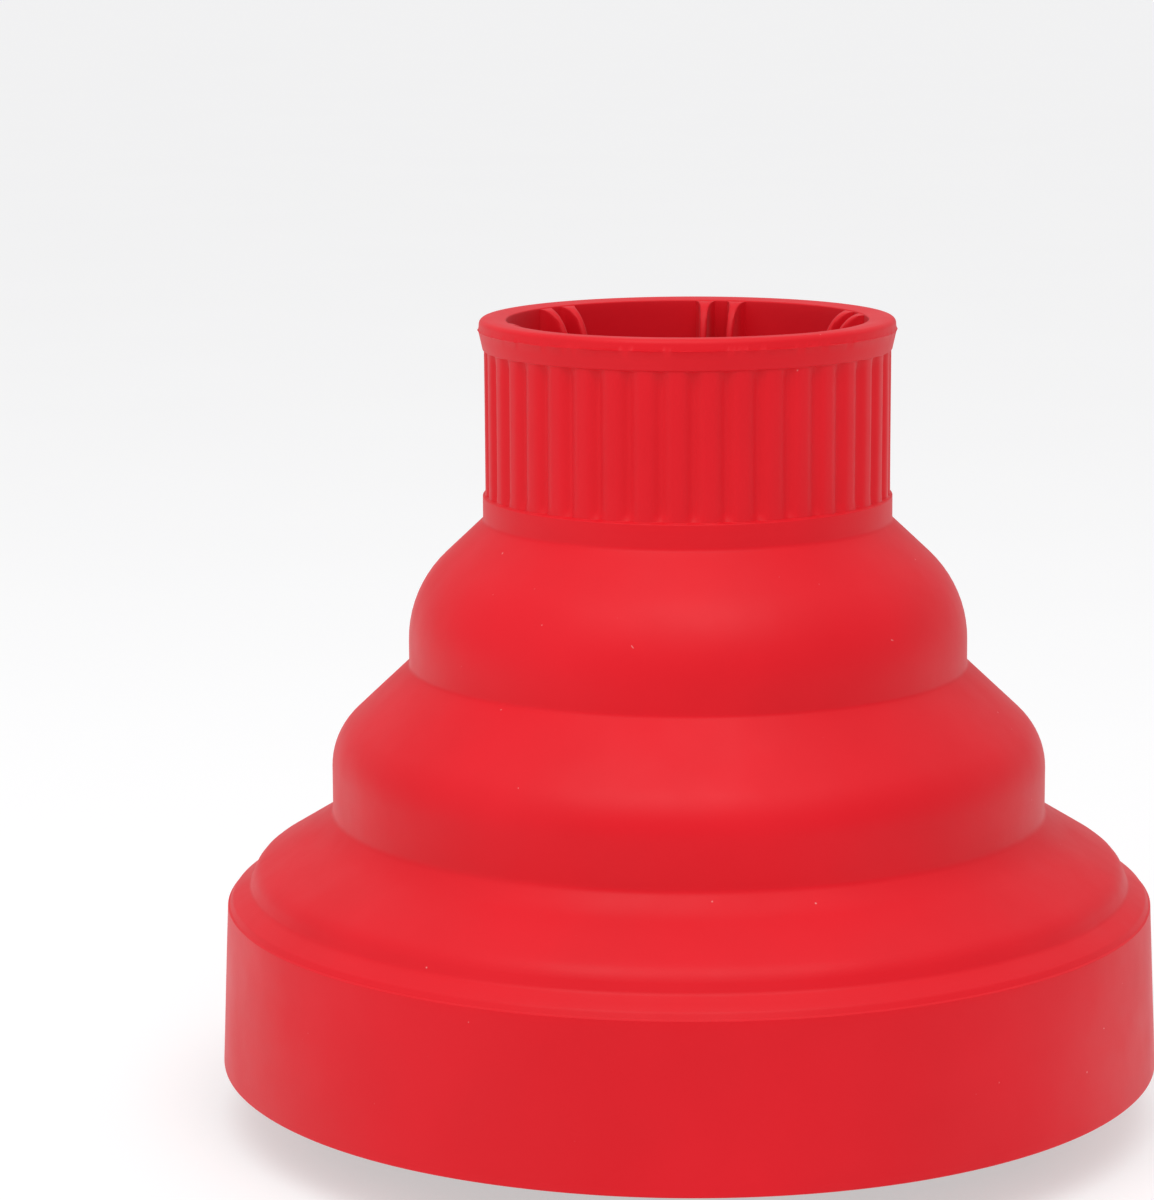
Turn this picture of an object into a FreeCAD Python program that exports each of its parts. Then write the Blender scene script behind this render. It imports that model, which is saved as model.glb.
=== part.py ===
import FreeCAD, Part

import math
import os

# Collapsible silicone diffuser for a hair dryer. +Z runs up the axis, from the mouth that
# meets the hair to the neck that takes the dryer's nozzle. The origin is on the axis, in the
# plane of the outer fingers' tips, which is the surface that the diffuser stands on.
# Lengths are in millimetres and angles in degrees.

# Plate: a thin dish of hexagonal holes inside a flat flange.
PLATE_T = 2.0
FIELD_R = 55.4
FLANGE_W = 4.6
FLANGE_TUCK = 1.9
DISH_SAG = 4.3
HEX_PITCH = 6.0
HEX_WALL = 1.2
EDGE_SLOT_W = 4.0
LEAST_HOLE_AREA = 3.0

# Drum: the wide stiff end, which holds the plate in a groove.
SEAT_CLEAR = 0.1
SEAT_WALL = 4.3
PLATE_RECESS = 6.5
LIP_BEAD_H = 1.4
LEDGE_H = 2.1
LIP_W = 3.0
EDGE_R = 0.7
DRUM_WALL = 2.6
DRUM_FLARE = 1.2
SHOULDER_RISE = 23.4
BEAD_RISE = 1.8
BEAD_W = 1.4
VALLEY_W = 3.6
VALLEY_RISE = 3.9

# Folds: each is a flexible web between the ring below it and the ring above it.
RING_WALL = 2.2
WEB_WALL = 1.6
LOWER_SLOPE = 51.4
MIDDLE_FOLD_W = 11.2
MIDDLE_WALL_H = 6.3
MIDDLE_DOME_R = 9.2
MIDDLE_SLOPE = 46.7
UPPER_FOLD_W = 10.8
UPPER_WALL_H = 3.6
UPPER_DOME_R = 16.1
UPPER_SLOPE = 46.7

# Neck: the ribbed sleeve that stretches over the nozzle.
NECK_BORE_R = 25.5
NECK_WALL = 3.6
BAND_H = 3.6
RIB_COUNT = 40
RIB_INSET = 0.2
RIB_DEPTH = 0.75
RIB_W = 3.0
RIB_H = 20.8
RIM_FLARE = 0.7
TAPER_H = 2.7
CROWN_H = 1.7

# Grip fins: thin blades in pairs on the inside of the neck.
FIN_PAIRS = 6
FIN_T = 1.4
FIN_REACH = 4.5
FIN_GAP_ANGLE = 10.4
FIN_TURN = 77.0
FIN_TOP_DROP = 0.2
FIN_LEAD_H = 7.0
FIN_ROOT = 0.3

# Fingers: hollow outer ones with air holes, and short stepped inner ones.
OUTER_COUNT = 6
OUTER_RING_R = 42.6
OUTER_H = 16.4
OUTER_COLLAR_R = 5.5
OUTER_COLLAR_H = 7.6
OUTER_PEG_R = 4.4
OUTER_TIP_R = 3.7
OUTER_FIRST = 30.0
AIR_HOLE_COUNT = 3
AIR_HOLE_R = 1.7
AIR_HOLE_H = 4.9
AIR_BORE_R = 2.4
INNER_COUNT = 3
INNER_RING_R = 20.8
INNER_H = 13.6
INNER_STEP_RADII = (4.7, 3.9, 3.2)
INNER_STEP_H = 3.4
INNER_TIP_R = 2.7
INNER_FIRST = 60.0
STEM_R = 3.2
STEM_HEAD_W = 0.7
STEM_HEAD_H = 1.0

# Hub disc and the baffle behind the middle of the plate.
HUB_R = 8.9
HUB_RISE = 2.0
HUB_SLOTS = 14
HUB_SLOT_W = 0.9
HUB_SLOT_IN_R = 3.6
HUB_SLOT_OUT_R = 7.9
HUB_SLOT_DEPTH = 1.0
HUB_HOLE_R = 0.9
BAFFLE_T = 1.2
BAFFLE_ROWS = 3
BAFFLE_ARM_ROWS = 5

FULL_TURN = 360.0
CENTRE = FreeCAD.Vector(0, 0, 0)
AXIS = FreeCAD.Vector(0, 0, 1)


def dish_depth(radius):
    """How far the plate's front stands behind its flange at a radius."""
    if radius > FIELD_R:
        return 0.0
    return DISH_SAG - (DISH_R - math.sqrt(DISH_R ** 2 - radius ** 2))


def dome_run(wall_r, next_r, dome_r, slope):
    """Height of a dome web, its arc's rise and its arc's inward step."""
    turn = math.radians(slope)
    rise = dome_r * math.sin(turn)
    step = dome_r * (1 - math.cos(turn))
    return rise + (wall_r - next_r - step) / math.tan(turn), rise, step


# Radii and levels, worked out from the sizes above.
FLANGE_SHOW_R = FIELD_R + FLANGE_W
FLANGE_R = FLANGE_SHOW_R + FLANGE_TUCK
SHOULDER_R = FLANGE_R + SEAT_CLEAR + SEAT_WALL
MOUTH_R = SHOULDER_R + DRUM_FLARE
VALLEY_R = SHOULDER_R - VALLEY_W
BAND_R = NECK_BORE_R + NECK_WALL
UPPER_R = BAND_R + UPPER_FOLD_W
MIDDLE_R = UPPER_R + MIDDLE_FOLD_W
RIB_TOP_R = BAND_R - RIB_INSET
PARTING_R = RIB_TOP_R + RIM_FLARE
FIN_GRIP_R = NECK_BORE_R - FIN_REACH
DISH_R = (FIELD_R ** 2 + DISH_SAG ** 2) / (2 * DISH_SAG)
MOUTH_Z = OUTER_H - PLATE_RECESS - dish_depth(OUTER_RING_R)
FLANGE_Z = MOUTH_Z + PLATE_RECESS
DISH_FRONT_Z = FLANGE_Z + DISH_SAG
DISH_BACK_Z = DISH_FRONT_Z + PLATE_T
SHOULDER_Z = MOUTH_Z + SHOULDER_RISE
VALLEY_Z = SHOULDER_Z + VALLEY_RISE
MIDDLE_FOOT_Z = VALLEY_Z + (VALLEY_R - MIDDLE_R) / math.tan(math.radians(LOWER_SLOPE))
MIDDLE_WEB_Z = MIDDLE_FOOT_Z + MIDDLE_WALL_H
UPPER_FOOT_Z = MIDDLE_WEB_Z + dome_run(MIDDLE_R, UPPER_R, MIDDLE_DOME_R, MIDDLE_SLOPE)[0]
UPPER_WEB_Z = UPPER_FOOT_Z + UPPER_WALL_H
NECK_FOOT_Z = UPPER_WEB_Z + dome_run(UPPER_R, BAND_R, UPPER_DOME_R, UPPER_SLOPE)[0]
RIB_Z = NECK_FOOT_Z + BAND_H
TAPER_Z = RIB_Z + RIB_H
PARTING_Z = TAPER_Z + TAPER_H
TOP_Z = PARTING_Z + CROWN_H


def point(radius, height):
    return FreeCAD.Vector(radius, 0, height)


def section(start, *steps):
    """A closed face in the XZ plane. A step is a corner, or (middle, end) of an arc."""
    edges = []
    here = start
    for step in steps + (start,):
        is_arc = isinstance(step[0], tuple)
        end = step[1] if is_arc else step
        if end == here:
            continue
        if is_arc:
            edges.append(Part.Arc(point(*here), point(*step[0]), point(*end)).toShape())
        else:
            edges.append(Part.LineSegment(point(*here), point(*end)).toShape())
        here = end
    return Part.Face(Part.Wire(edges))


def turned(*outline):
    """The solid that an outline in the XZ plane sweeps about the axis."""
    return section(*outline).revolve(CENTRE, AXIS, FULL_TURN)


def on_arc(centre, radius, angle):
    turn = math.radians(angle)
    return (centre[0] + radius * math.cos(turn), centre[1] + radius * math.sin(turn))


def spun(shape, angle):
    return shape.rotated(CENTRE, AXIS, angle)


def ball_cap(level):
    """A ball whose surface follows the plate's dish, with its top at the given level."""
    return Part.makeSphere(DISH_R, FreeCAD.Vector(0, 0, level - DISH_R))


def drum():
    """Skirt, lip, plate seat and shoulder, turned as one moulding."""
    wall_r = SHOULDER_R - DRUM_WALL
    groove_r = FLANGE_R + SEAT_CLEAR
    groove_low = FLANGE_Z - SEAT_CLEAR
    groove_high = FLANGE_Z + PLATE_T + SEAT_CLEAR
    lip_r = MOUTH_R - LIP_W
    web_w = WEB_WALL / math.cos(math.radians(LOWER_SLOPE))
    bead_centre = (FLANGE_SHOW_R + LIP_BEAD_H / 2, groove_low - LIP_BEAD_H / 2)
    half = LIP_BEAD_H / 2
    edge = (1 - math.sqrt(0.5)) * EDGE_R
    return turned(
        (MOUTH_R - EDGE_R, MOUTH_Z),
        ((MOUTH_R - edge, MOUTH_Z + edge), (MOUTH_R, MOUTH_Z + EDGE_R)),
        (SHOULDER_R, SHOULDER_Z),
        (SHOULDER_R - EDGE_R / 2, SHOULDER_Z + edge),
        (SHOULDER_R - BEAD_W, SHOULDER_Z + BEAD_RISE),
        (VALLEY_R, VALLEY_Z),
        (VALLEY_R - web_w, VALLEY_Z),
        (wall_r, SHOULDER_Z),
        (wall_r, groove_high + LEDGE_H + DRUM_WALL),
        (FLANGE_SHOW_R + half, groove_high + LEDGE_H),
        (FLANGE_SHOW_R + half, groove_high),
        (groove_r, groove_high),
        (groove_r, groove_low),
        (bead_centre[0], groove_low),
        (on_arc(bead_centre, half, 180), on_arc(bead_centre, half, 270)),
        (lip_r - EDGE_R, MOUTH_Z + EDGE_R),
        (lip_r, MOUTH_Z),
    )


def lower_fold_web():
    """Straight cone between the drum's shoulder and the middle ring."""
    turn = math.radians(LOWER_SLOPE)
    inner_end_r = MIDDLE_R - WEB_WALL
    drop = WEB_WALL * (math.sin(turn) - (1 - math.cos(turn)) / math.tan(turn))
    return turned(
        (VALLEY_R, VALLEY_Z),
        (MIDDLE_R, MIDDLE_FOOT_Z),
        (inner_end_r, MIDDLE_FOOT_Z),
        (inner_end_r, MIDDLE_FOOT_Z - drop),
        (VALLEY_R - WEB_WALL / math.cos(turn), VALLEY_Z),
    )


def ring(outer_r, foot_z, height):
    """Upright wall of a fold."""
    return turned(
        (outer_r, foot_z),
        (outer_r, foot_z + height),
        (outer_r - RING_WALL, foot_z + height),
        (outer_r - RING_WALL, foot_z),
    )


def dome_web(wall_r, web_z, next_r, dome_r, slope):
    """Rounded web from the top of one wall in to the foot of the next."""
    turn = math.radians(slope)
    height, rise, step = dome_run(wall_r, next_r, dome_r, slope)
    centre = (wall_r - dome_r, web_z)
    thin_r = dome_r - WEB_WALL
    inner_end_r = next_r - WEB_WALL
    drop = WEB_WALL * (math.sin(turn) - (1 - math.cos(turn)) / math.tan(turn))
    top = web_z + height
    return turned(
        (wall_r, web_z),
        (on_arc(centre, dome_r, slope / 2), (wall_r - step, web_z + rise)),
        (next_r, top),
        (inner_end_r, top),
        (inner_end_r, top - drop),
        on_arc(centre, thin_r, slope),
        (on_arc(centre, thin_r, slope / 2), (wall_r - WEB_WALL, web_z)),
    )


def neck_sleeve():
    """Sleeve with a plain band, upright ribs and a flared, crowned rim."""
    floor_r = RIB_TOP_R - RIB_DEPTH
    sleeve = turned(
        (BAND_R, NECK_FOOT_Z),
        (BAND_R, RIB_Z),
        (floor_r, RIB_Z),
        (floor_r, TAPER_Z),
        (RIB_TOP_R, TAPER_Z),
        (PARTING_R, PARTING_Z),
        ((PARTING_R - CROWN_H / 3, PARTING_Z + CROWN_H * 2 / 3), (PARTING_R - CROWN_H, TOP_Z)),
        (NECK_BORE_R + EDGE_R, TOP_Z),
        (NECK_BORE_R, TOP_Z - EDGE_R),
        (NECK_BORE_R, NECK_FOOT_Z),
    )
    # A rib's round face passes through its crest and both its corners on the sleeve.
    half = RIB_W / 2
    round_r = (half ** 2 + RIB_DEPTH ** 2) / (2 * RIB_DEPTH)
    rib = Part.makeCylinder(round_r, RIB_H, point(RIB_TOP_R - round_r, RIB_Z))
    ribs = [spun(rib, FULL_TURN * i / RIB_COUNT) for i in range(RIB_COUNT)]
    return sleeve.fuse(ribs)


def nozzle_grip_fins():
    """Pairs of blades, standing in from the bore, with curved lead-in tops."""
    top_z = TOP_Z - EDGE_R - FIN_TOP_DROP
    root_r = NECK_BORE_R + FIN_ROOT
    depth = root_r - FIN_GRIP_R
    start_z = top_z - FIN_LEAD_H
    bend = (root_r - depth * math.sqrt(0.5), start_z + FIN_LEAD_H * math.sqrt(0.5))
    face = section(
        (root_r, NECK_FOOT_Z),
        (FIN_GRIP_R + FIN_T, NECK_FOOT_Z),
        (FIN_GRIP_R, NECK_FOOT_Z + FIN_T),
        (FIN_GRIP_R, start_z),
        (bend, (root_r, top_z)),
    )
    face.translate(FreeCAD.Vector(0, -FIN_T / 2, 0))
    blade = face.extrude(FreeCAD.Vector(0, FIN_T, 0))
    fins = []
    for pair in range(FIN_PAIRS):
        middle = FIN_TURN + FULL_TURN * pair / FIN_PAIRS
        for side in (-1, 1):
            fins.append(spun(blade, middle + side * FIN_GAP_ANGLE / 2))
    return Part.Compound(fins)


def ring_spots(count, radius, first):
    """Angle and place of each finger on a ring."""
    spots = []
    for i in range(count):
        angle = first + FULL_TURN * i / count
        turn = math.radians(angle)
        spots.append((angle, FreeCAD.Vector(radius * math.cos(turn), radius * math.sin(turn), 0)))
    return spots


OUTER_SPOTS = ring_spots(OUTER_COUNT, OUTER_RING_R, OUTER_FIRST)
INNER_SPOTS = ring_spots(INNER_COUNT, INNER_RING_R, INNER_FIRST)


def hexagon(x, y, across):
    """Face with its flats towards the six neighbours."""
    corner_r = across / math.sqrt(3)
    corners = []
    for i in range(7):
        turn = math.radians(60 * i)
        corners.append(FreeCAD.Vector(x + corner_r * math.cos(turn), y + corner_r * math.sin(turn), 0))
    return Part.Face(Part.makePolygon(corners))


def hex_centres(reach):
    """Places of the honeycomb's cells, one of them on the axis."""
    column = HEX_PITCH * math.sqrt(3) / 2
    count = int(reach / column) + 1
    centres = []
    for i in range(-count, count + 1):
        for j in range(-2 * count, 2 * count + 1):
            if (i + j) % 2 == 0:
                centres.append((i * column, j * HEX_PITCH / 2))
    return [c for c in centres if math.hypot(*c) < reach]


def disc(radius, place=CENTRE):
    return Part.Face(Part.Wire(Part.makeCircle(radius, place)))


def inward_neighbour(x, y):
    """The cell beside this one that lies nearest to the axis."""
    near = [(x, y)]
    for i in range(6):
        turn = math.radians(30 + 60 * i)
        near.append((x + HEX_PITCH * math.cos(turn), y + HEX_PITCH * math.sin(turn)))
    return min(near, key=lambda c: math.hypot(*c))


def edge_slot(x, y, across):
    """A cell that the flange cuts, joined to the whole cell on its inner side."""
    inner_x, inner_y = inward_neighbour(x, y)
    bridge = Part.makePlane(HEX_PITCH, EDGE_SLOT_W, FreeCAD.Vector(0, -EDGE_SLOT_W / 2, 0))
    bridge = spun(bridge, math.degrees(math.atan2(y - inner_y, x - inner_x)))
    bridge.translate(FreeCAD.Vector(inner_x, inner_y, 0))
    cells = [hexagon(inner_x, inner_y, across), hexagon(x, y, across)]
    return bridge.fuse(cells).removeSplitter()


def honeycomb_holes():
    """Faces of the plate's holes: whole cells, slots at the flange and cells cut by a finger."""
    across = HEX_PITCH - HEX_WALL
    solid_spots = [(spot, OUTER_COLLAR_R) for _, spot in OUTER_SPOTS]
    solid_spots += [(spot, INNER_STEP_RADII[0]) for _, spot in INNER_SPOTS]
    solid_spots.append((CENTRE, HUB_R))
    field = disc(FIELD_R)
    cells = {}
    for x, y in hex_centres(FIELD_R - across / math.sqrt(3)):
        cells[(round(x, 3), round(y, 3))] = hexagon(x, y, across)
    for x, y in hex_centres(FIELD_R + HEX_PITCH / 2):
        if (round(x, 3), round(y, 3)) in cells:
            continue
        inner = tuple(round(v, 3) for v in inward_neighbour(x, y))
        if inner in cells and hexagon(x, y, across).common(field).Area > LEAST_HOLE_AREA:
            cells[inner] = cells[inner].fuse(edge_slot(x, y, across)).removeSplitter().common(field)
    holes = []
    for (x, y), cell in cells.items():
        for spot, land_r in solid_spots:
            if math.hypot(x - spot.x, y - spot.y) < land_r + 2 * across:
                cell = cell.cut(disc(land_r, spot))
        for face in cell.Faces:
            if face.Area > LEAST_HOLE_AREA:
                holes.append(face)
    return holes


def honeycomb_plate():
    """Flange and dish in one, pierced by the honeycomb and by the fingers' stem holes."""
    middle = FIELD_R / 2
    edge_z = FLANGE_Z + PLATE_T
    mid_front = FLANGE_Z + dish_depth(middle)
    blank = turned(
        (0, DISH_FRONT_Z),
        ((middle, mid_front), (FIELD_R, FLANGE_Z)),
        (FLANGE_R, FLANGE_Z),
        (FLANGE_R, edge_z),
        (FIELD_R, edge_z),
        ((middle, mid_front + PLATE_T), (0, DISH_BACK_Z)),
    )
    wires = [hole.OuterWire for hole in honeycomb_holes()]
    for _, spot in OUTER_SPOTS + INNER_SPOTS:
        wires.append(Part.Wire(Part.makeCircle(STEM_R, spot)))
    wires.append(Part.Wire(Part.makeCircle(STEM_R, CENTRE)))
    outer = Part.Wire(Part.makeCircle(FLANGE_R + PLATE_T, CENTRE))
    mesh = Part.makeFace([outer] + wires, "Part::FaceMakerBullseye")
    mesh.translate(FreeCAD.Vector(0, 0, MOUTH_Z))
    return blank.common(mesh.extrude(FreeCAD.Vector(0, 0, DISH_BACK_Z)))


def back_baffle():
    """Star-shaped cover behind the cells in the middle and along the outer fingers' lines."""
    cell = HEX_PITCH / math.sqrt(3)
    body_r = (BAFFLE_ROWS + 1 / 2) * HEX_PITCH
    arm_r = (BAFFLE_ARM_ROWS + 1 / 2) * HEX_PITCH
    star = Part.makeCylinder(body_r, DISH_BACK_Z + PLATE_T)
    arm = Part.makeBox(arm_r, 2 * cell, DISH_BACK_Z + PLATE_T, FreeCAD.Vector(0, -cell, 0))
    star = star.fuse([spun(arm, angle) for angle, _ in OUTER_SPOTS])
    shell = ball_cap(DISH_BACK_Z + BAFFLE_T).cut(ball_cap(DISH_BACK_Z))
    baffle = star.common(shell)
    holes = [Part.makeCylinder(STEM_R, DISH_BACK_Z + PLATE_T, CENTRE)]
    for _, spot in INNER_SPOTS:
        holes.append(Part.makeCylinder(STEM_R, DISH_BACK_Z + PLATE_T, spot))
    return baffle.cut(holes)


def finger(body, place, back_level, bore=None):
    """Seat a finger's body on the dish and fix it with a pin that is headed at the back."""
    drop = DISH_SAG - dish_depth(math.hypot(place.x, place.y))
    foot_z = DISH_FRONT_Z - drop - EDGE_R
    top_z = back_level - drop + STEM_HEAD_H
    pin = Part.makeCylinder(STEM_R, top_z - foot_z, FreeCAD.Vector(0, 0, foot_z))
    head_h = STEM_HEAD_H + PLATE_T / 2
    head = Part.makeCylinder(STEM_R + STEM_HEAD_W, head_h, FreeCAD.Vector(0, 0, top_z - head_h))
    body = body.translated(place).common(ball_cap(DISH_FRONT_Z))
    head = head.translated(place).cut(ball_cap(back_level))
    solid = body.fuse([pin.translated(place), head])
    if bore:
        solid = solid.cut(bore.translated(place))
    return solid.removeSplitter()


def outer_finger(angle, place):
    """Collar with an air hole, then a tapered peg with a round tip."""
    tip_z = FLANGE_Z + dish_depth(OUTER_RING_R) - OUTER_H
    collar_z = tip_z + OUTER_H - OUTER_COLLAR_H
    tip_centre = (0, tip_z + OUTER_TIP_R)
    body = turned(
        (0, tip_z),
        (on_arc(tip_centre, OUTER_TIP_R, -45), (OUTER_TIP_R, tip_centre[1])),
        (OUTER_PEG_R, collar_z),
        (OUTER_COLLAR_R - EDGE_R, collar_z),
        (OUTER_COLLAR_R, collar_z + EDGE_R),
        (OUTER_COLLAR_R, DISH_FRONT_Z),
        (0, DISH_FRONT_Z),
    )
    centre = FreeCAD.Vector(0, 0, tip_z + OUTER_H - AIR_HOLE_H)
    hole = Part.makeCylinder(AIR_HOLE_R, 2 * OUTER_COLLAR_R, centre, FreeCAD.Vector(1, 0, 0))
    floor = FreeCAD.Vector(0, 0, centre.z - AIR_BORE_R)
    bore = Part.makeCylinder(AIR_BORE_R, OUTER_H + DISH_SAG, floor)
    cuts = [spun(hole, angle + FULL_TURN * i / AIR_HOLE_COUNT) for i in range(AIR_HOLE_COUNT)]
    return finger(body, place, DISH_BACK_Z, bore.fuse(cuts))


def inner_finger(place):
    """Three stepped rings with a round tip, shorter than the outer fingers."""
    tip_z = FLANGE_Z + dish_depth(INNER_RING_R) - INNER_H
    tip_centre = (0, tip_z + INNER_TIP_R)
    steps = [(on_arc(tip_centre, INNER_TIP_R, -45), (INNER_TIP_R, tip_centre[1]))]
    level = FLANGE_Z + dish_depth(INNER_RING_R) - len(INNER_STEP_RADII) * INNER_STEP_H
    steps.append((INNER_TIP_R, level))
    for radius in reversed(INNER_STEP_RADII):
        steps.append((radius - EDGE_R / 2, level))
        steps.append((radius, level + EDGE_R / 2))
        level += INNER_STEP_H
        steps.append((radius, level))
    steps[-1] = (INNER_STEP_RADII[0], DISH_FRONT_Z)
    steps.append((0, DISH_FRONT_Z))
    return finger(turned((0, tip_z), *steps), place, DISH_BACK_Z + BAFFLE_T)


def hub_disc():
    """Raised button with radial slots round a small hole, on the middle of the dish."""
    face_z = DISH_FRONT_Z - HUB_RISE
    body = turned(
        (0, face_z),
        (HUB_R - EDGE_R, face_z),
        (HUB_R, face_z + EDGE_R),
        (HUB_R, DISH_FRONT_Z),
        (0, DISH_FRONT_Z),
    )
    length = HUB_SLOT_OUT_R - HUB_SLOT_IN_R
    corner = FreeCAD.Vector(HUB_SLOT_IN_R, -HUB_SLOT_W / 2, face_z)
    slot = Part.makeBox(length, HUB_SLOT_W, HUB_SLOT_DEPTH, corner)
    cuts = [spun(slot, FULL_TURN * i / HUB_SLOTS) for i in range(HUB_SLOTS)]
    cuts.append(Part.makeCylinder(HUB_HOLE_R, HUB_SLOT_DEPTH, FreeCAD.Vector(0, 0, face_z)))
    return finger(body.cut(cuts), CENTRE, DISH_BACK_Z + BAFFLE_T)


def make_parts():
    """Every piece by its node's name."""
    upper = (UPPER_R, UPPER_WEB_Z, BAND_R, UPPER_DOME_R, UPPER_SLOPE)
    middle = (MIDDLE_R, MIDDLE_WEB_Z, UPPER_R, MIDDLE_DOME_R, MIDDLE_SLOPE)
    parts = {
        "neck_sleeve": neck_sleeve(),
        "nozzle_grip_fins": nozzle_grip_fins(),
        "upper_fold_web": dome_web(*upper),
        "upper_ring": ring(UPPER_R, UPPER_FOOT_Z, UPPER_WALL_H),
        "middle_fold_web": dome_web(*middle),
        "middle_ring": ring(MIDDLE_R, MIDDLE_FOOT_Z, MIDDLE_WALL_H),
        "lower_fold_web": lower_fold_web(),
        "drum": drum(),
        "honeycomb_plate": honeycomb_plate(),
        "back_baffle": back_baffle(),
        "hub_disc": hub_disc(),
    }
    for number, (angle, place) in enumerate(OUTER_SPOTS, start=1):
        parts[f"outer_finger_{number}"] = outer_finger(angle, place)
    for number, (_, place) in enumerate(INNER_SPOTS, start=1):
        parts[f"inner_finger_{number}"] = inner_finger(place)
    return parts


os.makedirs("parts", exist_ok=True)
for name, shape in make_parts().items():
    shape.exportStep(f"parts/{name}.step")
    print(name, "solids", len(shape.Solids), "volume", round(shape.Volume, 1), "valid", shape.isValid())
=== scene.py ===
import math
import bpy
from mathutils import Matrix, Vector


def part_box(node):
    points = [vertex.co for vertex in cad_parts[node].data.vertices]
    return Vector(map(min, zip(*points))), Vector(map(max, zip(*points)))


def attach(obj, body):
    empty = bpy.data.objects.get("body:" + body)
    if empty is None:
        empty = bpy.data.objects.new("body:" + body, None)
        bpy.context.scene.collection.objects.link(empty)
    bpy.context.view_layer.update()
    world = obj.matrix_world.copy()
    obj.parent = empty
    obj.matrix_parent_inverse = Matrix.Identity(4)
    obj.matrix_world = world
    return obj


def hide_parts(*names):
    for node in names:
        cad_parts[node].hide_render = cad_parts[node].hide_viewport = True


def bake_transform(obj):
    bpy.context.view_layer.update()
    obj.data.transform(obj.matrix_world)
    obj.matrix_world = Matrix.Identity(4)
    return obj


bl_info = {
    "name": "Collapsible Dryer Diffuser",
    "version": (1, 0, 0),
    "blender": (4, 5, 0),
    "location": "View3D > Sidebar > Diffuser",
    "description": "Builds the silicone body, the honeycomb plate and the studio",
    "category": "Object",
}

import bmesh
import bpy
from bpy.props import FloatProperty, FloatVectorProperty, IntProperty, PointerProperty
from mathutils import Matrix, Vector, noise

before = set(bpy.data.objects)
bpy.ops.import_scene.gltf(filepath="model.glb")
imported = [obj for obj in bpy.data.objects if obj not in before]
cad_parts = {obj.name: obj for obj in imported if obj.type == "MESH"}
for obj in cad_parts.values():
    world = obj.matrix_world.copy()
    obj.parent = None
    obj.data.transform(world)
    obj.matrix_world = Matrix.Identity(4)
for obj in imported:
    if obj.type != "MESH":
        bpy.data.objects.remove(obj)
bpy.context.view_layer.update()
MM = 0.001

# Radii and levels of the body, read from the frame's pieces.
DRUM_LOW, DRUM_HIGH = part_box("drum")
MIDDLE_LOW, MIDDLE_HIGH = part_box("middle_ring")
UPPER_LOW, UPPER_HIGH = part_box("upper_ring")
NECK_LOW, NECK_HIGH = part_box("neck_sleeve")
PLATE_LOW, PLATE_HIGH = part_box("honeycomb_plate")

MOUTH_Z = DRUM_LOW.z
VALLEY_Z = DRUM_HIGH.z
MIDDLE_R = MIDDLE_HIGH.x
MIDDLE_FOOT_Z = MIDDLE_LOW.z
MIDDLE_WEB_Z = MIDDLE_HIGH.z
UPPER_R = UPPER_HIGH.x
UPPER_FOOT_Z = UPPER_LOW.z
UPPER_WEB_Z = UPPER_HIGH.z
NECK_FOOT_Z = NECK_LOW.z
TOP_Z = NECK_HIGH.z
PARTING_R = NECK_HIGH.x
PLATE_Z = PLATE_LOW.z
PLATE_R = PLATE_HIGH.x

# Fillet of the crease at a fold's foot, and how far above the foot two pieces meet.
CREASE = 1.3 * MM
SEAM = 0.75 * MM

# Longest side of a turned outline, and the angle from which an edge is shaded as sharp.
FINE = 1.4 * MM
SHARP = math.radians(50)

# Edges that meet at more than this angle get the mould's rounding.
CORNER = math.radians(40)


# ------------------------------------------------------------------ sizes and looks

class BodySizes(bpy.types.PropertyGroup):
    """Sizes of the silicone body that the frame doesn't give."""

    mouth_r: FloatProperty(
        name="Mouth radius", default=67.5 * MM, unit="LENGTH",
        description="Outside radius of the drum at its mouth")
    shoulder_r: FloatProperty(
        name="Shoulder radius", default=66.3 * MM, unit="LENGTH",
        description="Outside radius of the drum at its parting edge")
    shoulder_rise: FloatProperty(
        name="Shoulder rise", default=23.4 * MM, unit="LENGTH",
        description="Height of the parting edge above the mouth")
    valley_r: FloatProperty(
        name="Valley radius", default=62.7 * MM, unit="LENGTH",
        description="Radius of the soft valley inside the shoulder bead")
    band_r: FloatProperty(
        name="Neck band radius", default=29.1 * MM, unit="LENGTH",
        description="Outside radius of the plain band under the ribs")
    bore_r: FloatProperty(
        name="Neck bore radius", default=25.5 * MM, unit="LENGTH",
        description="Inside radius of the neck")
    ring_wall: FloatProperty(
        name="Ring wall", default=2.2 * MM, unit="LENGTH",
        description="Thickness of the upright walls of the folds")
    web_wall: FloatProperty(
        name="Web wall", default=1.6 * MM, unit="LENGTH",
        description="Thickness of the flexible webs")
    dome_lean: FloatProperty(
        name="Dome lean", default=math.radians(46.7), subtype="ANGLE",
        description="Angle from the vertical at the top of a dome web")
    segments: IntProperty(
        name="Segments", default=288, min=48,
        description="Faces round the axis of a turned piece")


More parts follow.
